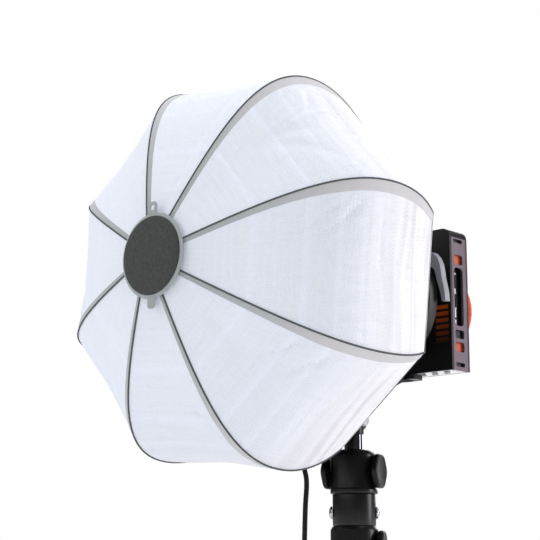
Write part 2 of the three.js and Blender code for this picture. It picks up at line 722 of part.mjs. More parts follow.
function tiltBolt() {
  const inner = -BOLT.side - GAP;
  const shaft = disc(BOLT.radius, inner - 0.7, BOLT.side + 2.2, "x", COARSE);
  const head = disc(BOLT.head, inner - BOLT.headDepth, inner, "x", 6);
  const body = join(shaft, head).translate(0, 0, TILT_PIVOT_Z);
  return piece("tilt_bolt", body, 0x9a9da1, 0.3, 0.9);
}

const TILT_KNOB = { radius: 5.4, depth: 4.6, edge: 1 };

function tiltKnob() {
  const { radius, depth, edge } = TILT_KNOB;
  const start = BOLT.side + GAP;
  const end = start + depth;
  const outline = [
    [0, start],
    [radius - edge, start],
    [radius, start + edge],
    [radius, end - edge],
    [radius - edge, end],
    [0, end],
  ];
  const bore = disc(BOLT.hole, start - 1, start + 2.4, "x", COARSE);
  const body = cut(turned(outline, "x", COARSE), bore).translate(0, 0, TILT_PIVOT_Z);
  return piece("tilt_knob", body, 0x9d9fa3, 0.35);
}

const SPIGOT = { bottom: 98.6, top: 148.1, grooveLow: 109.5, grooveHigh: 121.5, grooveDepth: 1.6 };

function spigot() {
  const { bottom, top, grooveLow, grooveHigh, grooveDepth } = SPIGOT;
  const waist = SPIGOT_RADIUS - grooveDepth;
  const body = turned(
    [
      [0, bottom],
      [SPIGOT_RADIUS, bottom],
      [SPIGOT_RADIUS, grooveLow],
      [waist, grooveLow + 1.5],
      [waist, grooveHigh - 1.5],
      [SPIGOT_RADIUS, grooveHigh],
      [SPIGOT_RADIUS, top],
      [0, top],
    ],
    "z",
  );
  return piece("spigot", body, 0x2b2c2f, 0.12, 1);
}

// ---- The stand head ----------------------------------------------------------------------

const KNOB = { stem: 3, hole: 3.2, radius: 15.2, lobe: 0.6, lobes: 6, depth: 5.6, edge: 1.8, inset: 1.6 };
const RECEIVER_KNOB_Z = 115.5;
const RECEIVER_KNOB_TURN = THREE.MathUtils.degToRad(20);
const COLLAR_KNOB_Z = 50;
const COLLAR_KNOB_TURN = THREE.MathUtils.degToRad(30);

// A lobed hand knob with its screw, pointing along +X with the screw's tip at stemStart.
function knob(stemStart, headStart) {
  const shape = new THREE.Shape();
  const steps = KNOB.lobes * 6;
  for (let index = 0; index < steps; index += 1) {
    const angle = (index * Math.PI * 2) / steps;
    const radius = KNOB.radius + KNOB.lobe * Math.cos(angle * KNOB.lobes);
    shape[index ? "lineTo" : "moveTo"](radius * Math.cos(angle), radius * Math.sin(angle));
  }
  shape.closePath();
  const settings = {
    depth: KNOB.depth - 2 * KNOB.edge,
    bevelThickness: KNOB.edge,
    bevelSize: KNOB.inset,
    bevelOffset: -KNOB.inset,
    bevelSegments: 1,
  };
  const head = new THREE.ExtrudeGeometry(shape, settings);
  head.translate(0, 0, headStart + KNOB.edge).applyMatrix4(DRAWN_IN_YZ);
  return join(head, disc(KNOB.stem, stemStart, headStart + 3, "x", COARSE));
}

function receiver() {
  const { receiverBottom: low, receiverTop: high, receiver: radius } = STAND;
  const { flange, flangeHeight, shoulder } = STAND;
  const body = turned(
    [
      [0, low],
      [flange, low],
      [flange, low + flangeHeight],
      [radius, low + flangeHeight + 0.6],
      [radius, high - shoulder],
      [radius - 0.25 * shoulder, high - 0.43 * shoulder],
      [radius - 0.75 * shoulder, high - 0.1 * shoulder],
      [radius - shoulder, high],
      [0, high],
    ],
    "z",
  );
  const bore = disc(SPIGOT_RADIUS + 0.4, low + 2, high + 1, "z");
  const screwHole = disc(KNOB.hole, -30, 30, "x", COARSE).translate(0, 0, RECEIVER_KNOB_Z);
  screwHole.rotateZ(RECEIVER_KNOB_TURN);
  return piece("receiver", cut(body, bore, screwHole), 0x1b1b1e, 0.35, 0.2);
}

function receiverKnobs() {
  const right = knob(SPIGOT_RADIUS + 1, STAND.receiver + 2 * GAP);
  right.translate(0, 0, RECEIVER_KNOB_Z).rotateZ(RECEIVER_KNOB_TURN);
  const left = right.clone().rotateZ(Math.PI);
  return groupOf(
    piece("receiver_knob_right", right, 0x131316, 0.4),
    piece("receiver_knob_left", left, 0x131316, 0.4),
  );
}

function column() {
  const { tube: tubeRadius, collar, sleeve, chamfer } = STAND;
  const { collarBottom, sleeveBottom, receiverBottom } = STAND;
  const collarTop = sleeveBottom - GAP;
  const tubeTop = collarBottom - GAP;
  const foot = turned([[0, 0], [tubeRadius, 0], [tubeRadius, tubeTop], [0, tubeTop]], "z");
  const lower = turned(
    [
      [0, collarBottom],
      [collar, collarBottom],
      [collar, collarTop - chamfer],
      [collar - chamfer, collarTop],
      [0, collarTop],
    ],
    "z",
  );
  const pocket = disc(KNOB.hole, 8, 30, "x", COARSE).translate(0, 0, COLLAR_KNOB_Z);
  pocket.rotateZ(COLLAR_KNOB_TURN);
  const middle = disc(sleeve, sleeveBottom, receiverBottom - GAP, "z");
  return groupOf(
    piece("stand_tube", foot, 0x1a1a1d, 0.4, 0.3),
    piece("lower_collar", cut(lower, pocket), 0x1b1b1e, 0.35, 0.2),
    piece("middle_sleeve", middle, 0x1b1b1e, 0.3, 0.2),
  );
}

function collarKnob() {
  const body = knob(10, STAND.collar + 2 * GAP).translate(0, 0, COLLAR_KNOB_Z);
  body.rotateZ(COLLAR_KNOB_TURN);
  return piece("collar_knob", body, 0x131316, 0.4);
}

const RIVET_TURN = THREE.MathUtils.degToRad(42);
const RIVET_Z = 80;
const RIVET = { radius: 5.7, height: 2.8 };

function rivets() {
  const start = STAND.sleeve + GAP;
  const dome = [[0, start], [RIVET.radius, start]];
  for (const share of [0.45, 0.85, 1]) {
    const reach = RIVET.radius * Math.sqrt(1 - share * share);
    dome.push([reach, start + RIVET.height * share]);
  }
  const right = turned(dome, "x", COARSE).translate(0, 0, RIVET_Z).rotateZ(RIVET_TURN);
  const left = right.clone().rotateZ(Math.PI);
  return groupOf(
    piece("sleeve_rivet_right", right, 0xa7a9ad, 0.25, 0.9),
    piece("sleeve_rivet_left", left, 0xa7a9ad, 0.25, 0.9),
  );
}

// ---- Assembly ----------------------------------------------------------------------------

const optics = groupOf(
  caseFront(), caseRear(), topShell(), bottomPlate(), heatSink(),
  fanMotor(), fanImpeller(), rearDome(),
);
optics.add(softbox(), sidePlates(), lightSource(), controls());
optics.position.z = OPTICAL_AXIS_Z;

const bracket = groupOf(tiltArm(), tiltClevis(), tiltBolt(), tiltKnob(), spigot());
const standHead = groupOf(receiver(), collarKnob());
standHead.add(receiverKnobs(), column(), rivets());

const model = new THREE.Group();
model.add(optics, cable(), bracket, standHead);

export default model;
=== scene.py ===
import json
import math
import random

import bpy
import numpy as np
from mathutils import Matrix, Vector

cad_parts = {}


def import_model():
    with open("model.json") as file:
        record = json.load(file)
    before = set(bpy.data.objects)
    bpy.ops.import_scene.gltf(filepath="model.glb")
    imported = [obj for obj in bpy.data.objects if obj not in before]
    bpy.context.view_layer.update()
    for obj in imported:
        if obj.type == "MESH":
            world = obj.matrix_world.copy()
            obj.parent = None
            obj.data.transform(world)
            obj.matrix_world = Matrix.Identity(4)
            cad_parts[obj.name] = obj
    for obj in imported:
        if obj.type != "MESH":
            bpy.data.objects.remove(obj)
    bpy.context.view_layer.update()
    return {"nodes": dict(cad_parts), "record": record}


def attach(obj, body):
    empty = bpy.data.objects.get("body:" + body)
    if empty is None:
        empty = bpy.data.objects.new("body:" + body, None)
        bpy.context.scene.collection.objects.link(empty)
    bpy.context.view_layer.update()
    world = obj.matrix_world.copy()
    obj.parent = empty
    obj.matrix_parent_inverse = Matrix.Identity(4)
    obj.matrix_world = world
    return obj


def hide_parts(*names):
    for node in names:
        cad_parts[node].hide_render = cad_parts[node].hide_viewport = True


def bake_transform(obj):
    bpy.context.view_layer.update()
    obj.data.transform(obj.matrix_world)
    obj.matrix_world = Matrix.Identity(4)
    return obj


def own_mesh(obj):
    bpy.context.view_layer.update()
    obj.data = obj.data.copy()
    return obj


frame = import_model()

# A compact studio softbox: fabric dome on eight folding ribs, LED lamp, bracket and stand head.
# Metres, in the frame of the CAD part: +Z up, the dome faces -Y.

MM = 0.001
AXIS_Z = 0.270  # height of the dome's axis over the stand's foot
RING_Y = 0.039  # the speedring's front face
RIBS = 8
STEP = 2 * math.pi / RIBS  # from one rib to the next
HALF = STEP / 2
CLOCKING = math.radians(-16.8)  # first rib, from straight up towards +X

# The dome's outline as (radius, distance forward of the ring), in millimetres.
SKIRT = ((59, 0.5), (148, 109))
REAR = ((148, 109), (158, 128), (170, 155), (170, 183))
FRONT = ((170, 183), (170, 240), (125, 260), (27, 282))

# A rib's pivots in the same terms, and how far they turn when the dome folds.
ROOT = np.array((51, 4))
KNUCKLE = np.array((163.5, 195))
KNUCKLE_U = 2.073  # the knuckle's place along the outline
FOLD = math.radians(32.05)  # turn at the root
UNFOLD = 2.65658  # turn back at the knuckle, in turns of the root

random.seed(7)


# ---- Materials ---------------------------------------------------------------------------


class Nodes:
    """Short calls for building a node tree."""

    def __init__(self, name):
        self.material = bpy.data.materials.new(name)
        self.material.use_nodes = True
        self.tree = self.material.node_tree
        self.tree.nodes.clear()

    def add(self, kind, inputs=None, **settings):
        node = self.tree.nodes.new(kind)
        for key, value in settings.items():
            setattr(node, key, value)
        for key, value in (inputs or {}).items():
            if isinstance(value, bpy.types.NodeSocket):
                self.tree.links.new(value, node.inputs[key])
            else:
                node.inputs[key].default_value = value
        return node

    def math(self, operation, a, b=0.0):
        return self.add("ShaderNodeMath", {0: a, 1: b}, operation=operation).outputs[0]

    def place(self):
        """Coordinates in the piece's own frame."""
        return self.add("ShaderNodeTexCoord").outputs["Object"]

    def parts(self, vector):
        return self.add("ShaderNodeSeparateXYZ", {0: vector}).outputs

    def ramp(self, value, low, high):
        """0 at low, 1 at high and straight between."""
        return self.add("ShaderNodeMapRange", {0: value, 1: low, 2: high}).outputs[0]

    def mix(self, share, a, b):
        node = self.add("ShaderNodeMix", {0: share, 6: a, 7: b}, data_type="RGBA")
        return node.outputs[2]

    def noise(self, vector, scale, detail=3.0, roughness=0.55):
        settings = {"Vector": vector, "Scale": scale, "Detail": detail, "Roughness": roughness}
        return self.add("ShaderNodeTexNoise", settings).outputs[0]

    def scaled(self, vector, factors):
        node = self.add("ShaderNodeVectorMath", {0: vector, 1: factors}, operation="MULTIPLY")
        return node.outputs[0]

    def bump(self, height, distance, strength=1.0, normal=None):
        inputs = {"Height": height, "Distance": distance, "Strength": strength}
        if normal is not None:
            inputs["Normal"] = normal
        return self.add("ShaderNodeBump", inputs).outputs[0]

    def principled(self, inputs):
        return self.add("ShaderNodeBsdfPrincipled", inputs).outputs[0]

    def output(self, shader):
        self.add("ShaderNodeOutputMaterial", {"Surface": shader})
        return self.material


def rgb(red, green, blue):
    """Display colour, 0 to 255, as a linear RGBA value."""
    linear = []
    for value in (red, green, blue):
        share = value / 255
        linear.append(share / 12.92 if share <= 0.04045 else ((share + 0.055) / 1.055) ** 2.4)
    return (*linear, 1.0)


def shade(colour, factor, lift=0.0):
    """The colour made darker or lighter, still opaque."""
    return tuple(min(1.0, factor * c + lift) for c in colour[:3]) + (1.0,)


def hard_surface(name, colour, roughness, metallic=0.0, grain=900.0, relief=0.02,
                 stretch=(1, 1, 1), coat=0.0, shine=0.5):
    """Painted, moulded or metal surface: uneven tone, patchy gloss, fine relief and rubbed spots."""
    n = Nodes(name)
    place = n.place()
    patches = n.noise(place, 28.0, 4.0)
    grains = n.noise(n.scaled(place, stretch), grain, 2.0)
    rubbed = n.ramp(n.noise(place, 75.0, 6.0, 0.7), 0.6, 0.78)
    tone = n.mix(patches, shade(colour, 0.78), shade(colour, 1.12, 0.004))
    tone = n.mix(n.math("MULTIPLY", rubbed, 0.35), tone, shade(colour, 1.5, 0.018))
    gloss = n.math("ADD", n.math("MULTIPLY", patches, 0.16), roughness - 0.08)
    gloss = n.math("SUBTRACT", gloss, n.math("MULTIPLY", rubbed, 0.05))
    normal = n.bump(grains, relief * MM, 0.8)
    return n.output(n.principled({
        "Base Color": tone,
        "Roughness": gloss,
        "Metallic": metallic,
        "Normal": normal,
        "Coat Weight": coat,
        "Specular IOR Level": shine,
        "Coat Roughness": 0.12,
    }))


def cloth(name, front, side, ripstop, painted_glow=0.0, through=0.0, roughness=0.85, puckers=1.0,
          reach=(-0.12, -0.20), shine=0.25, painted_pleat_shade=0.0):
    """Woven cloth. The UV map holds metres along the dome and across each panel.

    The tone goes from side to front between the two depths in reach; both tones are painted light, the front
    darker and the sides lighter as the light fell on them. Its emission is a painted glow, and the pleats
    are painted shade: soft dark lines by the rim.
    """
    n = Nodes(name)
    coordinates = n.add("ShaderNodeTexCoord")
    place, uv = coordinates.outputs["Object"], coordinates.outputs["UV"]
    along, across, _ = n.parts(uv)
    depth = n.parts(place)[1]
    # Painted light: the lighter side tone and the darker front tone show the cloth as the light fell on it,
    # not colours of its own.
    tone = n.mix(n.ramp(depth, *reach), side, front)
    blotch = n.noise(place, 9.0, 3.0)
    tone = n.mix(n.math("MULTIPLY", blotch, 0.10), tone, shade(front, 0.82))

    def line(value, pitch, width):
        turn = n.math("FRACT", n.math("MULTIPLY", value, 1 / pitch))
        off = n.math("ABSOLUTE", n.math("SUBTRACT", turn, 0.5))
        return n.math("GREATER_THAN", off, 0.5 - width / 2)

    grid = n.math("MAXIMUM", line(along, ripstop, 0.14), line(across, ripstop, 0.14))
    tone = n.mix(n.math("MULTIPLY", grid, 0.10), tone, shade(front, 0.62))
    thread = 2 * math.pi / (0.45 * MM)
    warp = n.math("SINE", n.math("MULTIPLY", along, thread))
    weft = n.math("SINE", n.math("MULTIPLY", across, thread))
    weave = n.math("MULTIPLY", warp, weft)
    ripples = n.noise(n.scaled(uv, (260.0, 38.0, 1.0)), 1.0, 3.0)
    creases = n.noise(n.scaled(uv, (24.0, 120.0, 1.0)), 1.0, 4.0, 0.6)
    # Painted shade: soft grey stripes near the rim stand in for the shadows in the cloth's pleats.
    if painted_pleat_shade:
        near_rim = n.ramp(depth, -0.175, -0.110)
        pleat_shade_stripes = n.ramp(n.noise(n.scaled(uv, (95.0, 7.0, 1.0)), 1.0, 2.0, 0.5), 0.46, 0.66)
        share = n.math("MULTIPLY", n.math("MULTIPLY", near_rim, pleat_shade_stripes), painted_pleat_shade)
        tone = n.mix(share, tone, rgb(204, 202, 210))
    normal = n.bump(weave, 0.03 * MM, 0.5)
    normal = n.bump(grid, 0.10 * MM, 0.5, normal)
    normal = n.bump(ripples, 0.9 * MM * puckers, 0.55, normal)
    normal = n.bump(creases, 2.0 * MM * puckers, 0.5, normal)
    # The emission is painted light: the cloth gives off light in its own tone, standing in for the lamp's
    # light shining through it.
    surface = n.principled({
        "Base Color": tone,
        "Roughness": roughness,
        "Specular IOR Level": shine,
        "Normal": normal,
        "Emission Color": tone,
        "Emission Strength": painted_glow,
    })
    if through:
        behind = n.add("ShaderNodeBsdfTranslucent", {"Color": tone, "Normal": normal}).outputs[0]
        surface = n.add("ShaderNodeMixShader", {0: through, 1: surface, 2: behind}).outputs[0]
    return n.output(surface)


def seam():
    """The rim's cord, with painted shade: dark in a band of heights where it turns under the dome's flanks,
    pale elsewhere.
    """
    n = Nodes("seam")
    place = n.place()
    height = n.parts(place)[2]
    # Painted shade: the cord darkens between two heights, where it turns under the dome's flanks.
    outside_painted_shade = n.math("MAXIMUM", n.ramp(height, 0.205, 0.225), n.ramp(height, 0.165, 0.145))
    twist = n.noise(place, 900.0, 2.0)
    tone = n.mix(outside_painted_shade, rgb(74, 75, 79), rgb(214, 211, 214))
    tone = n.mix(n.math("MULTIPLY", twist, 0.2), tone, rgb(60, 60, 64))
    normal = n.bump(twist, 0.1 * MM, 0.6)
    return n.output(n.principled({"Base Color": tone, "Roughness": 0.8, "Normal": normal}))


def vent_lining_painted_glow():
    """The vents' orange lining, which darkens downwards and gives off a painted glow, though it is no lamp.
    """
    n = Nodes("vent_lining_painted_glow")
    place = n.place()
    upper = n.ramp(n.parts(place)[2], 0.236, 0.268)
    tone = n.mix(upper, rgb(44, 19, 9), rgb(146, 64, 20))
    tone = n.mix(n.math("MULTIPLY", n.noise(place, 220.0), 0.3), tone, rgb(60, 24, 10))
    # Painted glow: the emission makes the lining give off light though it is no lamp.
    return n.output(n.principled({
        "Base Color": tone, "Roughness": 0.5, "Emission Color": tone, "Emission Strength": 0.35,
    }))


def hub_face():
    """The hub's dark, softly mottled face."""
    n = Nodes("hub_face")
    place = n.place()
    mottle = n.noise(place, 420.0, 2.0, 0.7)
    clouds = n.noise(place, 60.0, 3.0)
    tone = n.mix(mottle, rgb(46, 49, 47), rgb(82, 86, 83))
    tone = n.mix(n.math("MULTIPLY", clouds, 0.35), tone, rgb(70, 72, 71))
    normal = n.bump(mottle, 0.25 * MM, 0.6)
    return n.output(n.principled({
        "Base Color": tone, "Roughness": 0.85, "Specular IOR Level": 0.2, "Normal": normal,
    }))


def glass(name):
    """Clear glass with faint smears."""
    n = Nodes(name)
    place = n.place()
    smears = n.noise(place, 60.0, 3.0)
    return n.output(n.principled({
        "Base Color": (0.95, 0.97, 1.0, 1.0),
        "Roughness": n.math("MULTIPLY", smears, 0.12),
        "Transmission Weight": 0.95,
        "IOR": 1.45,
    }))


def glowing(name, colour, strength):
    """A surface that gives off a little light of its own colour."""
    n = Nodes(name)
    place = n.place()
    tone = n.mix(n.noise(place, 150.0), colour, shade(colour, 0.7))
    return n.output(n.principled({
        "Base Color": tone, "Roughness": 0.4, "Emission Color": tone, "Emission Strength": strength,
    }))


# The cloths' front and side tones and their glow are painted light, and the white cloth's pleat stripes are
# painted shade.
FINISH = {
    "translucent_fabric": cloth("white_ripstop", rgb(238, 243, 252), rgb(250, 249, 251), 4.5 * MM,
                                painted_glow=0.12, through=0.2, puckers=1.7, painted_pleat_shade=0.5),
    "black_fabric": cloth("black_nylon", rgb(15, 15, 17), rgb(19, 19, 21), 3.0 * MM,
                          roughness=0.55, puckers=1.6, shine=0.3),
    "binding": cloth("binding_tape", rgb(176, 183, 184), rgb(219, 217, 219), 1.6 * MM,
                     painted_glow=0.06, through=0.2, puckers=0.5, reach=(-0.19, -0.242)),
    "seam": seam(),
    "vent_lining_painted_glow": vent_lining_painted_glow(),
    "piping": cloth("dark_piping", rgb(86, 90, 91), rgb(92, 93, 96), 1.2 * MM, puckers=0.2),
    "rib_steel": hard_surface("rib_steel", rgb(150, 152, 156), 0.35, 0.9, 1400.0, 0.01, (1, 0.05, 1)),
    "hub_plastic": hub_face(),
    "ring_black": hard_surface("ring_black", rgb(17, 17, 19), 0.42, 0.0, 1100.0, 0.03, shine=0.4),
    "lever_grey": hard_surface("lever_grey", rgb(152, 155, 161), 0.42, 0.0, 900.0, 0.03),
    "case_black": hard_surface("case_black", rgb(14, 13, 15), 0.38, 0.0, 1300.0, 0.05, shine=0.35),
    "case_anodised": hard_surface("case_anodised", rgb(104, 93, 101), 0.34, 0.5, 1600.0, 0.015,
                                  stretch=(1, 1, 0.08)),
    "case_silver": hard_surface("case_silver", rgb(240, 239, 242), 0.38, 0.0, 1500.0, 0.015,
                                stretch=(0.08, 1, 1)),
    "sink_aluminium": hard_surface("sink_aluminium", rgb(172, 174, 178), 0.36, 0.85, 1500.0, 0.02,
                                   stretch=(1, 1, 0.05)),
    "orange_plastic": hard_surface("orange_plastic", rgb(200, 74, 22), 0.3, 0.0, 700.0, 0.01, coat=0.3),
    # Painted glow: the orange window linings give off light though they are no lamp.
    "orange_glow": glowing("orange_glow", rgb(196, 78, 22), 0.1),
    "board_white": hard_surface("board_white", rgb(232, 231, 226), 0.5),
    "phosphor": glowing("phosphor", rgb(244, 212, 96), 1.2),
    "clear_glass": glass("clear_glass"),
    "black_rubber": hard_surface("black_rubber", rgb(17, 17, 18), 0.6, 0.0, 800.0, 0.04, shine=0.3),
    "stand_black": hard_surface("stand_black", rgb(7, 7, 9), 0.3, 0.0, 1200.0, 0.05, shine=0.42),
    "knob_black": hard_surface("knob_black", rgb(5, 5, 6), 0.45, 0.0, 1500.0, 0.08, shine=0.28),
    "polished_steel": hard_surface("polished_steel", rgb(206, 208, 212), 0.18, 1.0, 1400.0, 0.008),
    "spigot_black": hard_surface("spigot_black", rgb(122, 123, 129), 0.12, 1.0, 1400.0, 0.004,
                                 stretch=(1, 1, 0.05)),
    "knob_grey": hard_surface("knob_grey", rgb(186, 188, 193), 0.34, 0.2, 1300.0, 0.03),
}


# ---- Meshes ------------------------------------------------------------------------------


def new_object(name, vertices, faces, finish, smooth=True):
    mesh = bpy.data.meshes.new(name)
    mesh.from_pydata([tuple(v) for v in vertices], [], [tuple(f) for f in faces])
    mesh.materials.append(FINISH[finish])
    mesh.polygons.foreach_set("use_smooth", [smooth] * len(mesh.polygons))
    mesh.update()
    obj = bpy.data.objects.new(name, mesh)
    bpy.context.scene.collection.objects.link(obj)
    return obj


def bevel(obj, width, segments=2, angle=35.0):
    modifier = obj.modifiers.new("edges", "BEVEL")
    modifier.width = width
    modifier.segments = segments
    modifier.limit_method = "ANGLE"
    modifier.angle_limit = math.radians(angle)
    modifier.harden_normals = False
    return obj


def sharpen(obj, angle=35.0):
    obj.data.polygons.foreach_set("use_smooth", [True] * len(obj.data.polygons))
    obj.data.set_sharp_from_angle(angle=math.radians(angle))
    return obj


def put(obj, body, slot, *nodes):
    """The piece rides on the body and stands for the CAD nodes."""
    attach(obj, body)
    if nodes:
        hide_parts(*nodes)
    return obj


AXES = {
    "x": Matrix(((0, 0, 1), (1, 0, 0), (0, 1, 0))),
    "y": Matrix(((0, 1, 0), (0, 0, 1), (1, 0, 0))),
    "z": Matrix.Identity(3),
}


def lathe(name, profile, axis, origin, finish, turn=0.0, segments=96, radius_at=None, edge=0.5):
    """A turned piece from (radius, height) points in millimetres. radius_at shapes it round the axis."""
    rings, faces, vertices = [], [], []
    closed = profile[0] == profile[-1]
    for radius, height in profile[: -1 if closed else None]:
        if radius < 1e-6:
            rings.append([len(vertices)])
            vertices.append(Vector((0, 0, height * MM)))
            continue
        ring = []
        for step in range(segments):
            angle = 2 * math.pi * step / segments
            reach = radius * (radius_at(angle, radius) if radius_at else 1.0) * MM
            ring.append(len(vertices))
            vertices.append(Vector((reach * math.cos(angle), reach * math.sin(angle), height * MM)))
        rings.append(ring)
    for low, high in zip(rings, rings[1:] + (rings[:1] if closed else [])):
        for step in range(segments):
            after = (step + 1) % segments
            if len(low) == 1 and len(high) > 1:
                faces.append((low[0], high[after], high[step]))
            elif len(high) == 1 and len(low) > 1:
                faces.append((low[step], low[after], high[0]))
            elif len(low) > 1:
                faces.append((low[step], low[after], high[after], high[step]))
    turning = Matrix.Rotation(turn, 3, "Z")
    basis = turning @ AXES[axis]
    placed = [basis @ v + Vector(origin) for v in vertices]
    obj = new_object(name, placed, faces, finish)
    bevel(obj, edge * MM, 3, 30.0)
    return obj


def tube(name, points, radius, finish, sides=10):
    """A round cord through the points, with closed ends."""
    points = [Vector(p) for p in points]
    vertices, faces = [], []
    side = None
    for index, point in enumerate(points):
        before = points[max(index - 1, 0)]
        after = points[min(index + 1, len(points) - 1)]
        along = (after - before).normalized()
        if side is None:
            side = along.orthogonal().normalized()
        side = (side - along * side.dot(along)).normalized()
        other = along.cross(side)
        for step in range(sides):
            angle = 2 * math.pi * step / sides
            vertices.append(point + radius * (side * math.cos(angle) + other * math.sin(angle)))
    for index in range(len(points) - 1):
        for step in range(sides):
            a, b = index * sides + step, index * sides + (step + 1) % sides
            faces.append((a, b, b + sides, a + sides))
    faces.append(tuple(reversed(range(sides))))
    faces.append(tuple(range(len(vertices) - sides, len(vertices))))
    return new_object(name, vertices, faces, finish)


def slab(name, outlines, low, high, basis, origin, finish, edge=0.3):
    """A flat plate from closed outlines in millimetres; those after the first are holes."""
    curve = bpy.data.curves.new(name, "CURVE")
    curve.dimensions = "2D"
    curve.fill_mode = "BOTH"
    curve.extrude = (high - low) / 2 * MM
    for outline in outlines:
        spline = curve.splines.new("POLY")
        spline.points.add(len(outline) - 1)
        for point, (x, y) in zip(spline.points, outline):
            point.co = (x * MM, y * MM, 0, 1)
        spline.use_cyclic_u = True
    holder = bpy.data.objects.new(name + "_outline", curve)
    bpy.context.scene.collection.objects.link(holder)
    mesh = bpy.data.meshes.new_from_object(holder)
    bpy.data.objects.remove(holder)
    mesh.transform(Matrix.Translation((0, 0, (high + low) / 2 * MM)))
    mesh.transform(basis.to_4x4())
    mesh.transform(Matrix.Translation(origin))
    mesh.name = name
    mesh.materials.clear()
    mesh.materials.append(FINISH[finish])
    obj = bpy.data.objects.new(name, mesh)
    bpy.context.scene.collection.objects.link(obj)
    sharpen(obj, 30.0)
    return bevel(obj, edge * MM)


def rectangle(x0, y0, x1, y1, radius=0.0, steps=6):
    """A rectangle's outline with rounded corners."""
    corners = ((x1 - radius, y0 + radius, -90), (x1 - radius, y1 - radius, 0),
               (x0 + radius, y1 - radius, 90), (x0 + radius, y0 + radius, 180))
    points = []
    for x, y, start in corners:
        for step in range(steps + 1 if radius else 1):
            angle = math.radians(start + 90 * step / steps)
            points.append((x + radius * math.cos(angle), y + radius * math.sin(angle)))
    return points


# ---- The dome ----------------------------------------------------------------------------


def bezier(points, share):
    """Points on a cubic curve with the four control points."""
    a, b, c, d = (np.array(p, float) for p in points)
    t = share[..., None]
    return (1 - t) ** 3 * a + 3 * (1 - t) ** 2 * t * b + 3 * (1 - t) * t * t * c + t**3 * d


JUST_UNDER_RIM = 1.0 - 1e-9


def outline(u):
    """(radius, forward) in millimetres: 0..1 is the skirt, 1..2 the dome's rear, 2..3 its front."""
    start, end = (np.array(p, float) for p in SKIRT)
    skirt = start + np.clip(u, 0, 1)[..., None] * (end - start)
    rear = bezier(REAR, np.clip(u - 1, 0, 1))
    front = bezier(FRONT, np.clip(u - 2, 0, 1))
    zone = u[..., None]
    return np.where(zone < 1, skirt, np.where(zone < 2, rear, front))


def outline_normal(u):
    """The outline's outward normal, measured on one side of the crease at the rim."""
    on_skirt = u < 1
    before, after = np.clip(u - 0.004, 0, 3), np.clip(u + 0.004, 0, 3)
    before = np.where(on_skirt, before, np.maximum(before, 1.0))
    after = np.where(on_skirt, np.minimum(after, JUST_UNDER_RIM), after)
    along = outline(after) - outline(before)
    along /= np.linalg.norm(along, axis=-1, keepdims=True)
    return np.stack((along[..., 1], -along[..., 0]), -1)


def fold_list():
    """Soft folds in the cloth as (angle, u, heading, length, width, depth)."""
    folds = []
    for panel in range(RIBS):
        start = CLOCKING + panel * STEP
        for step in range(6):
            angle = start + STEP * random.uniform(0.15, 0.55)
            folds.append((angle, 1.2 + 0.16 * step + random.uniform(-0.05, 0.05), random.uniform(80, 100),
                          random.uniform(20, 42), random.uniform(2.4, 4.2), random.uniform(0.7, 1.7)))
        for step in range(4):
            angle = start + STEP * random.uniform(0.08, 0.3)
            folds.append((angle, random.uniform(2.15, 2.5), random.uniform(25, 65),
                          random.uniform(16, 34), random.uniform(2.4, 4.0), random.uniform(0.8, 1.8)))
        for step in range(3):
            angle = start + STEP * random.uniform(0.3, 0.8)
            folds.append((angle, random.uniform(2.2, 2.75), random.uniform(-40, 40),
                          random.uniform(25, 50), random.uniform(4, 7), random.uniform(0.5, 1.2)))
    return folds


FOLDS = fold_list()
REAR_LENGTH = 78.0  # millimetres of cloth per unit of u behind the widest ring
FRONT_LENGTH = 195.0  # and in front of it


def crease(phi, u):
    """Inward depth of the soft folds in millimetres."""
    depth = np.zeros_like(phi)
    for angle, centre, heading, length, width, amount in FOLDS:
        radius = outline(np.array(centre))[0]
        across = ((phi - angle + math.pi) % (2 * math.pi) - math.pi) * radius
        along = (u - centre) * (REAR_LENGTH if centre < 2 else FRONT_LENGTH)
        c, s = math.cos(math.radians(heading)), math.sin(math.radians(heading))
        ahead, aside = along * c + across * s, across * c - along * s
        depth += amount * np.exp(-((aside / width) ** 2) - (ahead / length) ** 2)
    return depth


SKIRT_SLACK = 2.0  # how far the cloth sinks between ribs, in millimetres
DOME_SLACK = 2.6


def dome(phi, u, lift=0.0):
    """Points on the cloth at angle phi round the axis, place u along the outline."""
    along, normal = outline(u), outline_normal(u)
    offset = (phi - CLOCKING + HALF) % STEP - HALF
    chord = math.cos(HALF) / np.cos(HALF - np.abs(offset))
    slack = np.sin(np.pi / 2 * np.abs(offset) / HALF) ** 2
    reach = np.where(u < 1, np.sin(np.pi * np.clip(u, 0, 1)) * SKIRT_SLACK,
                     np.sin(np.pi * np.clip((u - 1) / 2, 0, 1)) * DOME_SLACK)
    edges = np.clip((u - 1) / 0.12, 0, 1) * np.clip((3 - u) / 0.25, 0, 1) * np.clip(slack * 6, 0, 1)
    depth = lift - slack * reach - crease(phi, u) * edges
    radius = along[..., 0] * chord + depth * normal[..., 0]
    forward = along[..., 1] + depth * normal[..., 1]
    x, z = radius * np.sin(phi) * MM, AXIS_Z + radius * np.cos(phi) * MM
    return np.stack((x, RING_Y - forward * MM, z), -1)


def dome_normal(phi, u):
    """The cloth's normal, folds included."""
    step = 1e-3
    low, high = np.where(u < 1, 0.0, 1.0), np.where(u < 1, JUST_UNDER_RIM, 3.0)
    along = dome(phi, np.clip(u + step, low, high)) - dome(phi, np.clip(u - step, low, high))
    round_ = dome(phi + step, u) - dome(phi - step, u)
    normal = np.cross(along, round_)
    return normal / np.linalg.norm(normal, axis=-1, keepdims=True)


ARC_U = np.linspace(0, 3, 601)
ARC = np.concatenate(([0], np.cumsum(np.linalg.norm(np.diff(outline(ARC_U), axis=0), axis=1)))) * MM


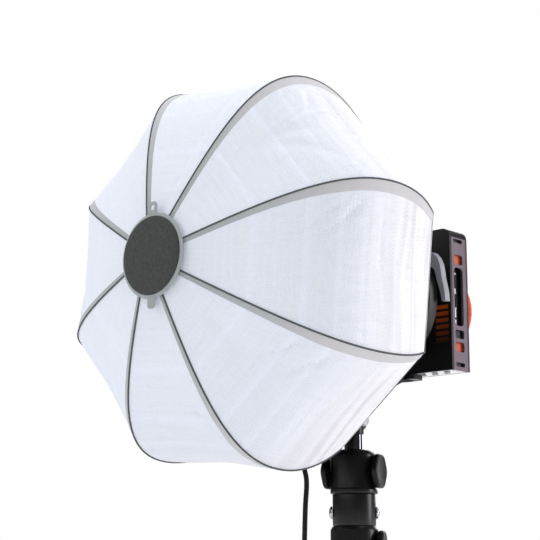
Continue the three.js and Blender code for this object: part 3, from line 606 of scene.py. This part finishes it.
def patch(name, phi, u, lift, rib, finish):
    """A sheet of the dome over grids of phi and u, with exact normals and cloth coordinates."""
    rows, columns = phi.shape
    vertices = dome(phi, u, lift).reshape(-1, 3)
    index = np.arange(rows * columns).reshape(rows, columns)
    corners = np.stack((index[:-1, :-1], index[:-1, 1:], index[1:, 1:], index[1:, :-1]), -1).reshape(-1, 4)
    obj = new_object(name, vertices, corners, finish)
    flat_phi, flat_u = phi.reshape(-1)[corners], u.reshape(-1)[corners]
    near_phi = flat_phi + 0.03 * (flat_phi.mean(1, keepdims=True) - flat_phi)
    near_u = flat_u + 0.03 * (flat_u.mean(1, keepdims=True) - flat_u)
    normals = dome_normal(near_phi, near_u)
    corner_normals = np.cross(
        vertices[corners[:, 1]] - vertices[corners[:, 0]],
        vertices[corners[:, 3]] - vertices[corners[:, 0]],
    )
    if (corner_normals * normals[:, 0]).sum() < 0:
        obj.data.flip_normals()
        normals = normals[:, ::-1]
        near_phi, near_u = near_phi[:, ::-1], near_u[:, ::-1]
    obj.data.normals_split_custom_set(normals.reshape(-1, 3).tolist())
    middle = CLOCKING + rib * STEP
    offset = near_phi - middle
    side = np.where(offset.mean(1, keepdims=True) > 0, 1, -1)
    across = -side * (HALF - np.abs(offset)) * outline(near_u)[..., 0] * MM
    panel = rib + np.where(side > 0, 0, -1)
    along = np.interp(near_u, ARC_U, ARC) + panel * 0.7
    layer = obj.data.uv_layers.new(name="cloth")
    layer.data.foreach_set("uv", np.stack((along, across), -1).astype(np.float32).ravel())
    return obj


def folded_share(u, on_front):
    """How far the middle of a panel closes in when the ribs fold, so that neighbours still meet."""
    radius, forward = outline(np.array(float(u)))
    point = np.array((radius * math.cos(HALF) ** 2, forward))

    def swung(p, pivot, angle):
        d = p - pivot
        c, s = math.cos(angle), math.sin(angle)
        return pivot + np.array((d[0] * c - d[1] * s, d[0] * s + d[1] * c))

    if on_front:
        point = swung(point, KNUCKLE, -UNFOLD * FOLD)
    folded = swung(point, ROOT, FOLD)
    return folded[0] * math.tan(HALF) / (radius * math.cos(HALF) * math.sin(HALF))


def flatten(obj, u0, u1, on_front):
    """Gives the piece its own mesh; the share it would keep across its rib as the dome folds is worked out
    but not used.
    """
    keep = max(folded_share(u0, on_front), folded_share(u1, on_front))
    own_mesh(obj)


# The cloth's bands along one rib: where each is cut, whether it rides on the front rib, and its finish.
BANDS = (
    ("skirt", (0.0, 0.2, 0.4, 0.6, 0.8, 1.0), False, "black_fabric"),
    ("side", (1.0, 1.35, 1.7, KNUCKLE_U), False, "translucent_fabric"),
    ("face", (KNUCKLE_U, 2.16, 2.3, 2.48, 2.72, 3.0), True, "translucent_fabric"),
)
COLUMNS = 40  # quads across one rib's share of the cloth
BINDING = ((0.0, 7.0), (1.0, 8.0), (2.0, 9.0), (2.35, 8.5), (2.7, 5.5), (3.0, 4.0))  # (u, width)
FLAP = 0.055  # the knuckle flap's reach along u
LAP = 5 * MM


def spread(u0, u1, pitch=2.8):
    """Places along the outline, evenly spaced on the cloth and exact at both ends."""
    start, end = np.interp((u0, u1), ARC_U, ARC)
    count = max(2, int(round((end - start) / (pitch * MM))))
    places = np.interp(np.linspace(start, end, count + 1), ARC, ARC_U)
    places[0], places[-1] = u0, u1
    return places


def just_inside(rows):
    """Keeps a band's rows on their own side of the crease at the rim."""
    if rows[-1] == 1.0:
        rows[-1] = JUST_UNDER_RIM
    return rows


def lap(rows):
    """Runs a band on under the next one, so that no slit opens between them when the dome folds."""
    beyond = np.interp(np.interp(rows[-1], ARC_U, ARC) + LAP, ARC, ARC_U)
    return np.append(rows, beyond), np.append(0.0 * rows, -0.5)


def dome_cloth():
    """The whole dome and skirt, rib by rib and band by band."""
    for rib in range(RIBS):
        middle = CLOCKING + rib * STEP
        for band, breaks, on_front, finish in BANDS:
            body = f"{'front' if on_front else 'rear'}_rib_{rib + 1}"
            for index, (u0, u1) in enumerate(zip(breaks, breaks[1:])):
                rows = just_inside(spread(u0, u1))
                lapped, lift = lap(rows) if index + 2 < len(breaks) else (rows, 0.0 * rows)
                u, phi = np.meshgrid(lapped, middle + np.linspace(-HALF, HALF, COLUMNS + 1), indexing="ij")
                obj = patch(f"{band}_{rib + 1}_{index + 1}", phi, u, lift[:, None], rib, finish)
                put(obj, body, finish)
                flatten(obj, u0, u1, on_front)
                tape(rib, band, index, rows, u0, u1, on_front, body)
        knuckle_flap(rib)
        rib_line(rib)
        rim_piping(rib)
    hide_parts("canopy")
    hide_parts("rear_skirt")


def tape(rib, band, index, rows, u0, u1, on_front, body):
    """The binding tape beside a rib, on its clockwise side."""
    width = np.interp(rows, *zip(*BINDING))
    angle = width / outline(rows)[:, 0]
    share = np.linspace(0, 1, 5)
    phi = CLOCKING + rib * STEP + 0.0008 + angle[:, None] * share[None, :]
    u = np.repeat(rows[:, None], 5, 1)
    lift = 0.45 * np.ones_like(u)
    lift[:, -1] = 0.05
    finish = "black_fabric" if band == "skirt" else "binding"
    slot = "black_fabric" if band == "skirt" else "translucent_fabric"
    obj = patch(f"tape_{band}_{rib + 1}_{index + 1}", phi, u, lift, rib, finish)
    put(obj, body, slot)
    flatten(obj, u0, u1, on_front)


def knuckle_flap(rib):
    """A flap of the side cloth inside the face cloth, which covers the knuckle when it folds."""
    rows = spread(KNUCKLE_U, KNUCKLE_U + FLAP)
    middle = CLOCKING + rib * STEP
    u, phi = np.meshgrid(rows, middle + np.linspace(-HALF, HALF, COLUMNS + 1), indexing="ij")
    lift = -0.2 - 1.2 * (u - KNUCKLE_U) / FLAP
    obj = patch(f"flap_{rib + 1}", phi, u, lift, rib, "translucent_fabric")
    put(obj, f"rear_rib_{rib + 1}", "translucent_fabric")
    flatten(obj, KNUCKLE_U, KNUCKLE_U, False)


def rib_line(rib):
    """The dark cord sewn over each rib."""
    angle = CLOCKING + rib * STEP
    for name, u0, u1, body in (("cord_skirt", 0.0, 1.0, "rear"), ("cord_side", 1.0, KNUCKLE_U, "rear"),
                               ("cord_face", KNUCKLE_U, 3.0, "front")):
        rows = just_inside(spread(u0, u1, 4.0))
        points = dome(np.full_like(rows, angle), rows, 0.35)
        obj = tube(f"{name}_{rib + 1}", points, 0.75 * MM, "piping")
        put(obj, f"{body}_rib_{rib + 1}", "black_fabric")


def rim_piping(rib):
    """The cord between the white cloth and the black skirt: pale, with painted shade where it turns under
    the dome's flanks.
    """
    angles = CLOCKING + rib * STEP + np.linspace(-HALF, HALF, 25)
    points = dome(angles, np.full_like(angles, 0.99), 0.1)
    obj = tube(f"rim_{rib + 1}", points, 0.8 * MM, "seam")
    put(obj, f"rear_rib_{rib + 1}", "black_fabric")
    flatten(obj, 1.0, 1.0, False)


# ---- The hub -----------------------------------------------------------------------------

# Ways to lay a flat outline. Its thickness goes along the last axis named.
FACING_FRONT = Matrix(((1, 0, 0), (0, 0, -1), (0, 1, 0)))  # x across, z up, thickness forward
FACING_REAR = Matrix(((1, 0, 0), (0, 0, 1), (0, -1, 0)))  # x across, z down, thickness back
SIDEWAYS = Matrix(((0, 0, 1), (1, 0, 0), (0, 1, 0)))  # y across, z up, thickness along x
FLAT = Matrix.Identity(3)
AT_AXIS = (0, 0, AXIS_Z)
HUB_Y = RING_Y - (282 + 5.5) * MM
TAB_Y = HUB_Y + 5.2 * MM


def hub():
    """The disc at the dome's front, its pale halo, and two tabs of binding."""
    at_hub = (0, HUB_Y, AXIS_Z)
    face = [(0, 0), (24, 0.25), (28.5, 0.9), (30.6, 1.8), (31.4, 3.0), (31.2, 4.0), (0, 4.0)]
    cap = lathe("hub_disc", face, "y", at_hub, "hub_plastic", edge=0.3)
    put(cap, "hub", "hub_plastic", "hub_cap")
    rim = [(25, 4.1), (31.0, 3.2), (33.8, 3.9), (34.2, 4.5), (33.0, 4.9), (25, 4.6)]
    halo = lathe("hub_halo", rim, "y", at_hub, "binding", edge=0.1)
    put(halo, "hub", "translucent_fabric")
    turn = np.linspace(0, 2 * math.pi, 24, False)
    eyelet = [(2.2 * math.cos(a), 38.2 + 2.2 * math.sin(a)) for a in turn]
    tabs = {
        "hub_tab_top": [rectangle(-5.0, 26, 5.0, 43, 3.5), eyelet],
        "hub_tab_low": [rectangle(-4.2, -42, 4.2, -26, 3.0)],
    }
    for name, outlines in tabs.items():
        tab = slab(name, outlines, 1.1, 1.7, FACING_FRONT, (0, TAB_Y, AXIS_Z), "binding", 0.15)
        put(tab, "hub", "translucent_fabric")


# ---- The lamp ----------------------------------------------------------------------------

WINDOWS = (77.5, 94)  # the side windows' linings, front to rear
BEHIND_WALL = (51.8, 53.1)  # the space just inside the case's right wall


def plate(name, shape, low, high, basis, finish, slot=None):
    """A thin lining inside the lamp's case."""
    obj = slab(name, [shape], low, high, basis, AT_AXIS, finish, 0.1)
    return put(obj, "lamp", slot or finish)


def window_linings():
    """Orange linings with a painted glow and dark linings behind the small windows, and what shows in the
    tall one.
    """
    front, rear = WINDOWS
    for index, (low, high) in enumerate(((-46.5, -34.8), (34.8, 46.5))):
        plate(f"window_lining_{index + 1}", rectangle(front, low, rear, high), *BEHIND_WALL, SIDEWAYS,
              "orange_glow", slot="orange_plastic")
    for index, (low, high) in enumerate(((-60, -53.5), (-33.8, -23.8), (55, 60.8))):
        plate(f"dark_lining_{index + 1}", rectangle(front, low, rear, high), *BEHIND_WALL, SIDEWAYS,
              "case_black")
    plate("window_wall", rectangle(87.2, -22, rear, 33), 49.8, 51.2, SIDEWAYS, "case_black")
    for index, height in enumerate((27, 9, -5)):
        plate(f"window_fin_{index + 1}", rectangle(78.4, height, 85.5, height + 1.3), 42, 53.2, SIDEWAYS,
              "sink_aluminium")
    for index, (low, high) in enumerate(((10.3, 14.5), (-12.5, -3.9), (-19.2, -14.6))):
        plate(f"terminal_{index + 1}", rectangle(83.7, low, 86.8, high, 0.6), 50.6, 51.6, SIDEWAYS,
              "board_white")


def lamp_details():
    """Everything small on the lamp that the CAD part leaves out."""
    window_linings()
    for side, low, high in (("right", 36, 53.2), ("left", -53.2, -36)):
        # The vents' orange linings carry a painted glow.
        plate(f"vent_lining_{side}", rectangle(low, -0.4, high, 37.6), 76.3, 77.0, FACING_REAR,
              "vent_lining_painted_glow", slot="orange_plastic")
    plate("floor_lining", rectangle(-52, 76.4, 52, 95), -59.2, -58.4, FLAT, "case_black")
    head = [(0, 99.8), (2.3, 99.8), (2.2, 100.6), (1.2, 100.9), (0, 100.9)]
    for index, (x, z) in enumerate(((-49, 60), (49, 60), (-49, -55), (49, -55))):
        place = (x * MM, 0, AXIS_Z + z * MM)
        screw = lathe(f"screw_{index + 1}", head, "y", place, "knob_black", segments=24, edge=0.1)
        put(screw, "lamp", "knob_black")


def knurl(count, depth, above):
    """Grooves round the rim of a knob, for radii over the given one."""
    return lambda angle, radius: 1 + (depth * math.cos(count * angle) if radius > above else 0)


def turned(node, body, profile, axis, origin, finish, **shape):
    """A smooth turned piece that stands for a faceted CAD one."""
    put(lathe(f"{node}_turned", profile, axis, origin, finish, **shape), body, finish, node)


FOOT = (0, 0, 0)
RIVET_Z = 80 * MM
TILT_Z = 160 * MM
CONTROL_Y = 86 * MM
DIAL_Z = AXIS_Z + 38 * MM
BUTTON_Z = AXIS_Z + 18 * MM


def stand_head():
    """The stand's tube, collar, sleeve and receiver, bottom to top, and the rivets in the sleeve."""
    tube_outline = [(0, 0), (16.5, 0), (16.5, 19.7), (0, 19.7)]
    collar = [(0, 20), (20.8, 20), (20.8, 23), (20.5, 23.4), (20.5, 24.4), (20.8, 24.8), (20.8, 65.2),
              (19, 68.2), (0, 68.2)]
    sleeve = [(0, 68.5), (18.6, 68.5), (18.8, 69.3), (18.8, 95.9), (0, 95.9)]
    flange = [(0, 96.2), (20.6, 96.2), (20.6, 99.8), (20.1, 100.5), (19.9, 101.2)]
    shoulder = [(19.9, 127.6), (19.4, 129.8), (18.3, 131.7), (16.6, 133.1), (15, 133.9), (13.4, 134.3)]
    bore = [(8.4, 134.3), (8.4, 98.2), (0, 98.2)]
    turned("stand_tube", "stand_head", tube_outline, "z", FOOT, "stand_black")
    turned("lower_collar", "stand_head", collar, "z", FOOT, "stand_black")
    turned("middle_sleeve", "stand_head", sleeve, "z", FOOT, "stand_black")
    turned("receiver", "stand_head", flange + shoulder + bore, "z", FOOT, "stand_black")
    dome_head = [(0, 19.1), (5.7, 19.1), (5.5, 20.2), (4.6, 21.1), (3, 21.7), (0, 21.9)]
    for side, turn in (("right", 42), ("left", 222)):
        turned(f"sleeve_rivet_{side}", "stand_head", dome_head, "x", (0, 0, RIVET_Z), "polished_steel",
               turn=math.radians(turn), segments=48, edge=0.2)


def hand_knobs():
    """The three lobed knobs as (turn round the stand, height, tip and head's start from its axis)."""
    head = [(13.2, 0), (14.6, 0.6), (15.2, 1.7), (15.2, 3.9), (14.5, 5.0), (13.0, 5.6), (11.6, 5.3),
            (0, 5.0)]
    knobs = {
        "receiver_knob_right": (20, 115.5, 9, 20.5),
        "receiver_knob_left": (200, 115.5, 9, 20.5),
        "collar_knob": (30, 50, 10, 21.4),
    }
    for node, (turn, height, tip, start) in knobs.items():
        stem = [(0, tip), (3, tip), (3, start)]
        profile = stem + [(radius, start + depth) for radius, depth in head]
        turned(node, node, profile, "x", (0, 0, height * MM), "knob_black", turn=math.radians(turn),
               segments=144, radius_at=knurl(6, 0.035, 12.5), edge=0.35)


def bracket():
    """The spigot with its groove, the tilt knob, and the plug on the cable's end."""
    spigot = [(0, 98.6), (7.4, 98.6), (8, 99.4), (8, 109.5), (6.4, 111), (6.4, 120), (8, 121.5), (8, 148.1),
              (0, 148.1)]
    turned("spigot", "pan_head", spigot, "z", FOOT, "spigot_black")
    knob = [(0, 9.6), (4.6, 9.6), (5.4, 10.8), (5.4, 13.2), (4.4, 14.2), (0, 14.2)]
    turned("tilt_knob", "tilt_knob", knob, "x", (0, 0, TILT_Z), "knob_grey",
           radius_at=knurl(16, 0.03, 4.7), edge=0.25)
    plug = [(0, 8), (2.7, 8), (2.7, 18), (4.2, 19.4), (4.6, 21), (4.6, 32), (3.4, 37), (3, 38), (0, 38)]
    turned("cable_plug", "pan_head", plug, "z", (-58 * MM, 0, 0), "black_rubber", segments=48)


def lamp_controls():
    """The dial and the button on the case's left side."""
    dial = [(0, -64.5), (8, -64.5), (9, -63.6), (9, -57.4), (8.4, -56.6), (2.9, -56.6), (2.9, -52), (0, -52)]
    turned("brightness_dial", "brightness_dial", dial, "x", (0, CONTROL_Y, DIAL_Z), "knob_black",
           segments=144, radius_at=knurl(24, 0.025, 8.7), edge=0.3)
    button = [(0, -58.2), (3.3, -58.2), (3.9, -57.7), (3.9, -52), (0, -52)]
    turned("power_button", "power_button", button, "x", (0, CONTROL_Y, BUTTON_Z), "orange_plastic",
           segments=48, edge=0.2)


def ring_profile(inner, outer, front, rear):
    """A plain ring's closed section."""
    return [(inner, front), (outer, front), (outer, rear), (inner, rear), (inner, front)]


def lamp_rings():
    """The rings between dome and lamp, and the rear dome with the trim ring in its air gap."""
    turned("adapter_ring", "softbox_ring", ring_profile(34, 46, 51.3, 59.8), "y", AT_AXIS, "ring_black")
    turned("mount_collar", "lamp", ring_profile(31.5, 38, 60.4, 72.7), "y", AT_AXIS, "case_black")
    quarter = [math.pi / 2 * step / 16 for step in range(17)]
    outside = [(49.5 * math.cos(a), 103.5 + 46 * math.sin(a)) for a in quarter]
    outside[-1] = (0, 149.5)
    inside = [(46.9 * math.cos(a), 103.5 + 43.4 * math.sin(a)) for a in quarter if 46.9 * math.cos(a) > 13]
    stem = [(0, 100.3), (12, 100.3), (12, 145.4)]
    turned("rear_dome", "lamp", stem + inside[::-1] + outside, "y", AT_AXIS, "orange_plastic", edge=0.4)
    trim = lathe("dome_trim", ring_profile(43, 45.4, 100.4, 103.4), "y", AT_AXIS, "knob_black",
                 radius_at=knurl(60, 0.012, 45), segments=240, edge=0.1)
    put(trim, "lamp", "knob_black")


def speedring():
    """The ring that the ribs hinge on, with a pair of lugs for each rib."""
    profile = [(36, 46), (45, 46), (45, 39), (57, 39), (57, 51), (36, 51), (36, 46)]
    turned("speedring", "softbox_ring", profile, "y", AT_AXIS, "ring_black")
    lug_outline = rectangle(32.4, 47.6, 40, 54, 1.6)
    for rib in range(RIBS):
        turn = Matrix.Rotation(CLOCKING + rib * STEP, 3, "Y")
        for side, x0, x1 in (("a", -3.6, -1.4), ("b", 1.4, 3.6)):
            lug = slab(f"lug_{rib + 1}{side}", [lug_outline], x0, x1, turn @ SIDEWAYS, AT_AXIS,
                       "ring_black", 0.3)
            put(lug, "softbox_ring", "ring_black")


def catmull_rom(points, steps):
    """A smooth path through the points."""
    points = [np.array(p, float) for p in points]
    points = [2 * points[0] - points[1]] + points + [2 * points[-1] - points[-2]]
    path = []
    for a, b, c, d in zip(points, points[1:], points[2:], points[3:]):
        for step in range(steps):
            t = step / steps
            path.append(0.5 * (2 * b + (c - a) * t + (2 * a - 5 * b + 4 * c - d) * t * t
                               + (3 * b - a - 3 * c + d) * t**3))
    path.append(points[-2])
    return path


def cable():
    """The lead from the socket to the plug."""
    points = ((-58, 86, 226), (-70, 86, 225), (-80, 78, 212), (-76, 48, 180), (-66, 12, 142), (-59, 0, 128),
              (-54, -1, 110), (-55.5, -1, 87), (-57.5, 0, 60), (-58, 0, 40), (-58, 0, 37))
    lead = tube("cable_lead", [p * MM for p in catmull_rom(points, 10)], 2.3 * MM, "black_rubber", 16)
    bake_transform(lead)
    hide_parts("cable")


# ---- Camera, light and floor --------------------------------------------------------------

CAMERA_RIGHT = Vector((0.7383, 0.6745, 0.0))
CAMERA_UP = Vector((0.1365, -0.1494, 0.9794))
CAMERA_BACK = Vector((0.6605, -0.7231, -0.2024))
AIM = Vector((0, -0.070, AXIS_Z)) - 0.02605 * CAMERA_RIGHT + 0.01479 * CAMERA_UP
CAMERA_DISTANCE = 1.2923


def camera():
    data = bpy.data.cameras.new("camera")
    data.lens = 100
    data.sensor_width = 36
    data.clip_start, data.clip_end = 0.01, 50
    obj = bpy.data.objects.new("camera", data)
    bpy.context.scene.collection.objects.link(obj)
    basis = Matrix((CAMERA_RIGHT, CAMERA_UP, CAMERA_BACK)).transposed()
    obj.matrix_world = Matrix.Translation(AIM + CAMERA_DISTANCE * CAMERA_BACK) @ basis.to_4x4()
    bpy.context.scene.camera = obj


def area_light(name, place, aim, size, power, colour=(1, 1, 1), size_y=None):
    data = bpy.data.lights.new(name, "AREA")
    data.shape = "RECTANGLE"
    data.size = size
    data.size_y = size_y or size
    data.energy = power
    data.color = colour
    obj = bpy.data.objects.new(name, data)
    bpy.context.scene.collection.objects.link(obj)
    obj.location = place
    obj.rotation_mode = "QUATERNION"
    obj.rotation_quaternion = (Vector(aim) - Vector(place)).to_track_quat("-Z", "Y")


def world():
    """White to the camera, softer as a light source."""
    scene = bpy.context.scene
    scene.world = bpy.data.worlds.new("studio")
    scene.world.use_nodes = True
    tree = scene.world.node_tree
    tree.nodes.clear()
    rays = tree.nodes.new("ShaderNodeLightPath")
    seen = tree.nodes.new("ShaderNodeBackground")
    seen.inputs[0].default_value = (1, 1, 1, 1)
    light = tree.nodes.new("ShaderNodeBackground")
    light.inputs[0].default_value = (0.98, 0.985, 1.0, 1)
    strength = tree.nodes.new("ShaderNodeMapRange")
    strength.inputs["To Min"].default_value = 0.70
    strength.inputs["To Max"].default_value = 0.09
    tree.links.new(rays.outputs["Is Glossy Ray"], strength.inputs["Value"])
    tree.links.new(strength.outputs[0], light.inputs[1])
    mix = tree.nodes.new("ShaderNodeMixShader")
    out = tree.nodes.new("ShaderNodeOutputWorld")
    tree.links.new(rays.outputs["Is Camera Ray"], mix.inputs[0])
    tree.links.new(light.outputs[0], mix.inputs[1])
    tree.links.new(seen.outputs[0], mix.inputs[2])
    tree.links.new(mix.outputs[0], out.inputs[0])
    scene.view_settings.view_transform = "Standard"


def floor():
    """A pale floor just under the stand's foot."""
    n = Nodes("floor")
    place = n.place()
    tone = n.mix(n.noise(place, 3.0), (0.86, 0.86, 0.87, 1), (0.9, 0.9, 0.9, 1))
    shader = n.add("ShaderNodeBsdfDiffuse", {"Color": tone})
    FINISH["floor"] = n.output(shader.outputs[0])
    reach, height = 4.0, -0.001
    corners = [(x * reach, y * reach, height) for x, y in ((-1, -1), (1, -1), (1, 1), (-1, 1))]
    new_object("floor", corners, [(0, 1, 2, 3)], "floor", smooth=False)


def cad_finishes():
    """Every CAD node still shown takes its slot's finish and smooth shading, with edges over 32 degrees kept
    sharp.
    """
    slots = {part["node"]: part["material_slot"] for part in frame["record"]["subparts"]}
    for name, node in frame["nodes"].items():
        if node.hide_render:
            continue
        node.data.materials.clear()
        node.data.materials.append(FINISH[slots[name]])
        sharpen(node, 32.0)


# ---- Build -------------------------------------------------------------------------------

dome_cloth()
hub()
lamp_details()
stand_head()
hand_knobs()
bracket()
lamp_controls()
lamp_rings()
speedring()
cable()
camera()
world()
floor()
cad_finishes()
area_light("key", (-1.2, -1.6, 1.5), (0, -0.05, 0.25), 1.4, 14)
area_light("top", (0.2, 0.1, 1.7), (0, 0, 0.25), 1.2, 10)
area_light("strip", (1.0, 0.9, 0.35), (0, 0, 0.15), 0.25, 9, (0.98, 0.93, 0.99), 1.2)
area_light("rear", (-0.6, 1.5, 0.7), (0, 0, 0.25), 1.0, 9)
